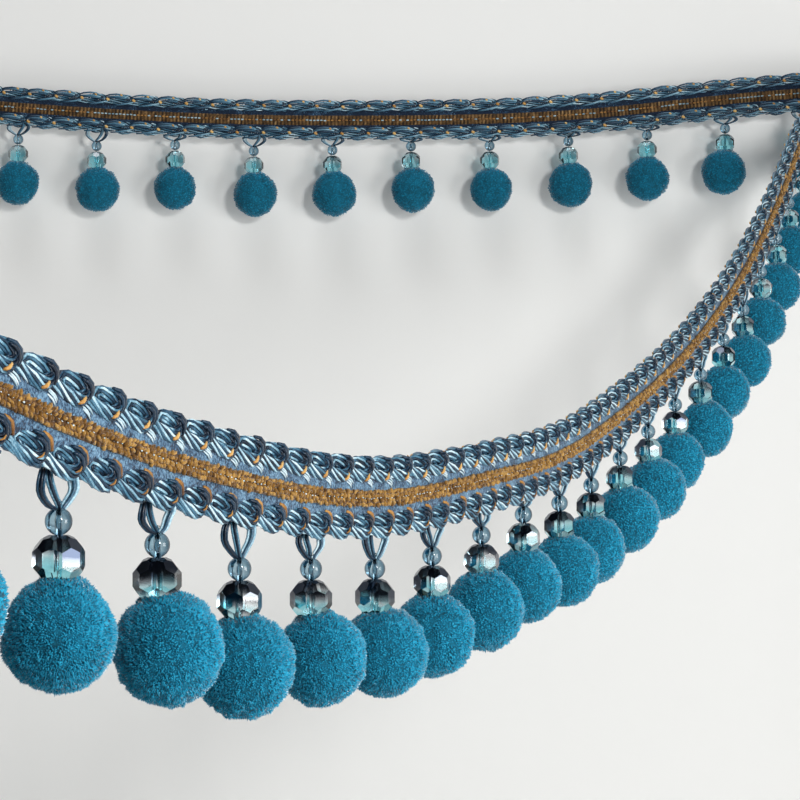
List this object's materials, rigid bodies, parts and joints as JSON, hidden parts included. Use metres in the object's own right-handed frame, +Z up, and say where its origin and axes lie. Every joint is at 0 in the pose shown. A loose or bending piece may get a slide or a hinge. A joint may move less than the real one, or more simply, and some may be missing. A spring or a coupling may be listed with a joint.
{
  "type": "pompom fringe trim",
  "caption": "Woven braid with looped gimp edges and a raised stripe, hung in a swag, with beaded pompom drops along its lower edge.",
  "frame": {"origin": "just inside the top edge of the turn, where the trim is held up", "axes": "+X to the viewer's right, +Y away from the viewer towards the back run, +Z up"},
  "size_m": [0.4171, 0.754, 0.2166],
  "materials": {
    "ground_weave": "matt ribbed weave",
    "gold_chenille": "matt looped pile",
    "gimp_yarn": "satin twisted rayon",
    "bead_glass": "clear, faceted and smooth",
    "pompom_pile": "velvety cut pile"
  },
  "bodies": {
    "root": {"ground_band": "ground_weave", "chenille_stripe": "gold_chenille", "upper_gimp": "gimp_yarn", "lower_gimp": "gimp_yarn", "bead_fringe": "bead_glass", "pompom_01": "pompom_pile", "pompom_02": "pompom_pile", "pompom_03": "pompom_pile", "pompom_04": "pompom_pile", "pompom_05": "pompom_pile", "pompom_06": "pompom_pile", "pompom_07": "pompom_pile", "pompom_08": "pompom_pile", "pompom_09": "pompom_pile", "pompom_10": "pompom_pile", "pompom_11": "pompom_pile", "pompom_12": "pompom_pile", "pompom_13": "pompom_pile", "pompom_14": "pompom_pile", "pompom_15": "pompom_pile", "pompom_16": "pompom_pile", "pompom_17": "pompom_pile", "pompom_18": "pompom_pile", "pompom_19": "pompom_pile", "pompom_20": "pompom_pile", "pompom_21": "pompom_pile", "pompom_22": "pompom_pile", "pompom_23": "pompom_pile", "pompom_24": "pompom_pile", "pompom_25": "pompom_pile", "pompom_26": "pompom_pile", "pompom_27": "pompom_pile", "pompom_28": "pompom_pile", "pompom_29": "pompom_pile", "pompom_30": "pompom_pile", "pompom_31": "pompom_pile", "pompom_32": "pompom_pile", "pompom_33": "pompom_pile", "pompom_34": "pompom_pile"}
  },
  "joints": []
}
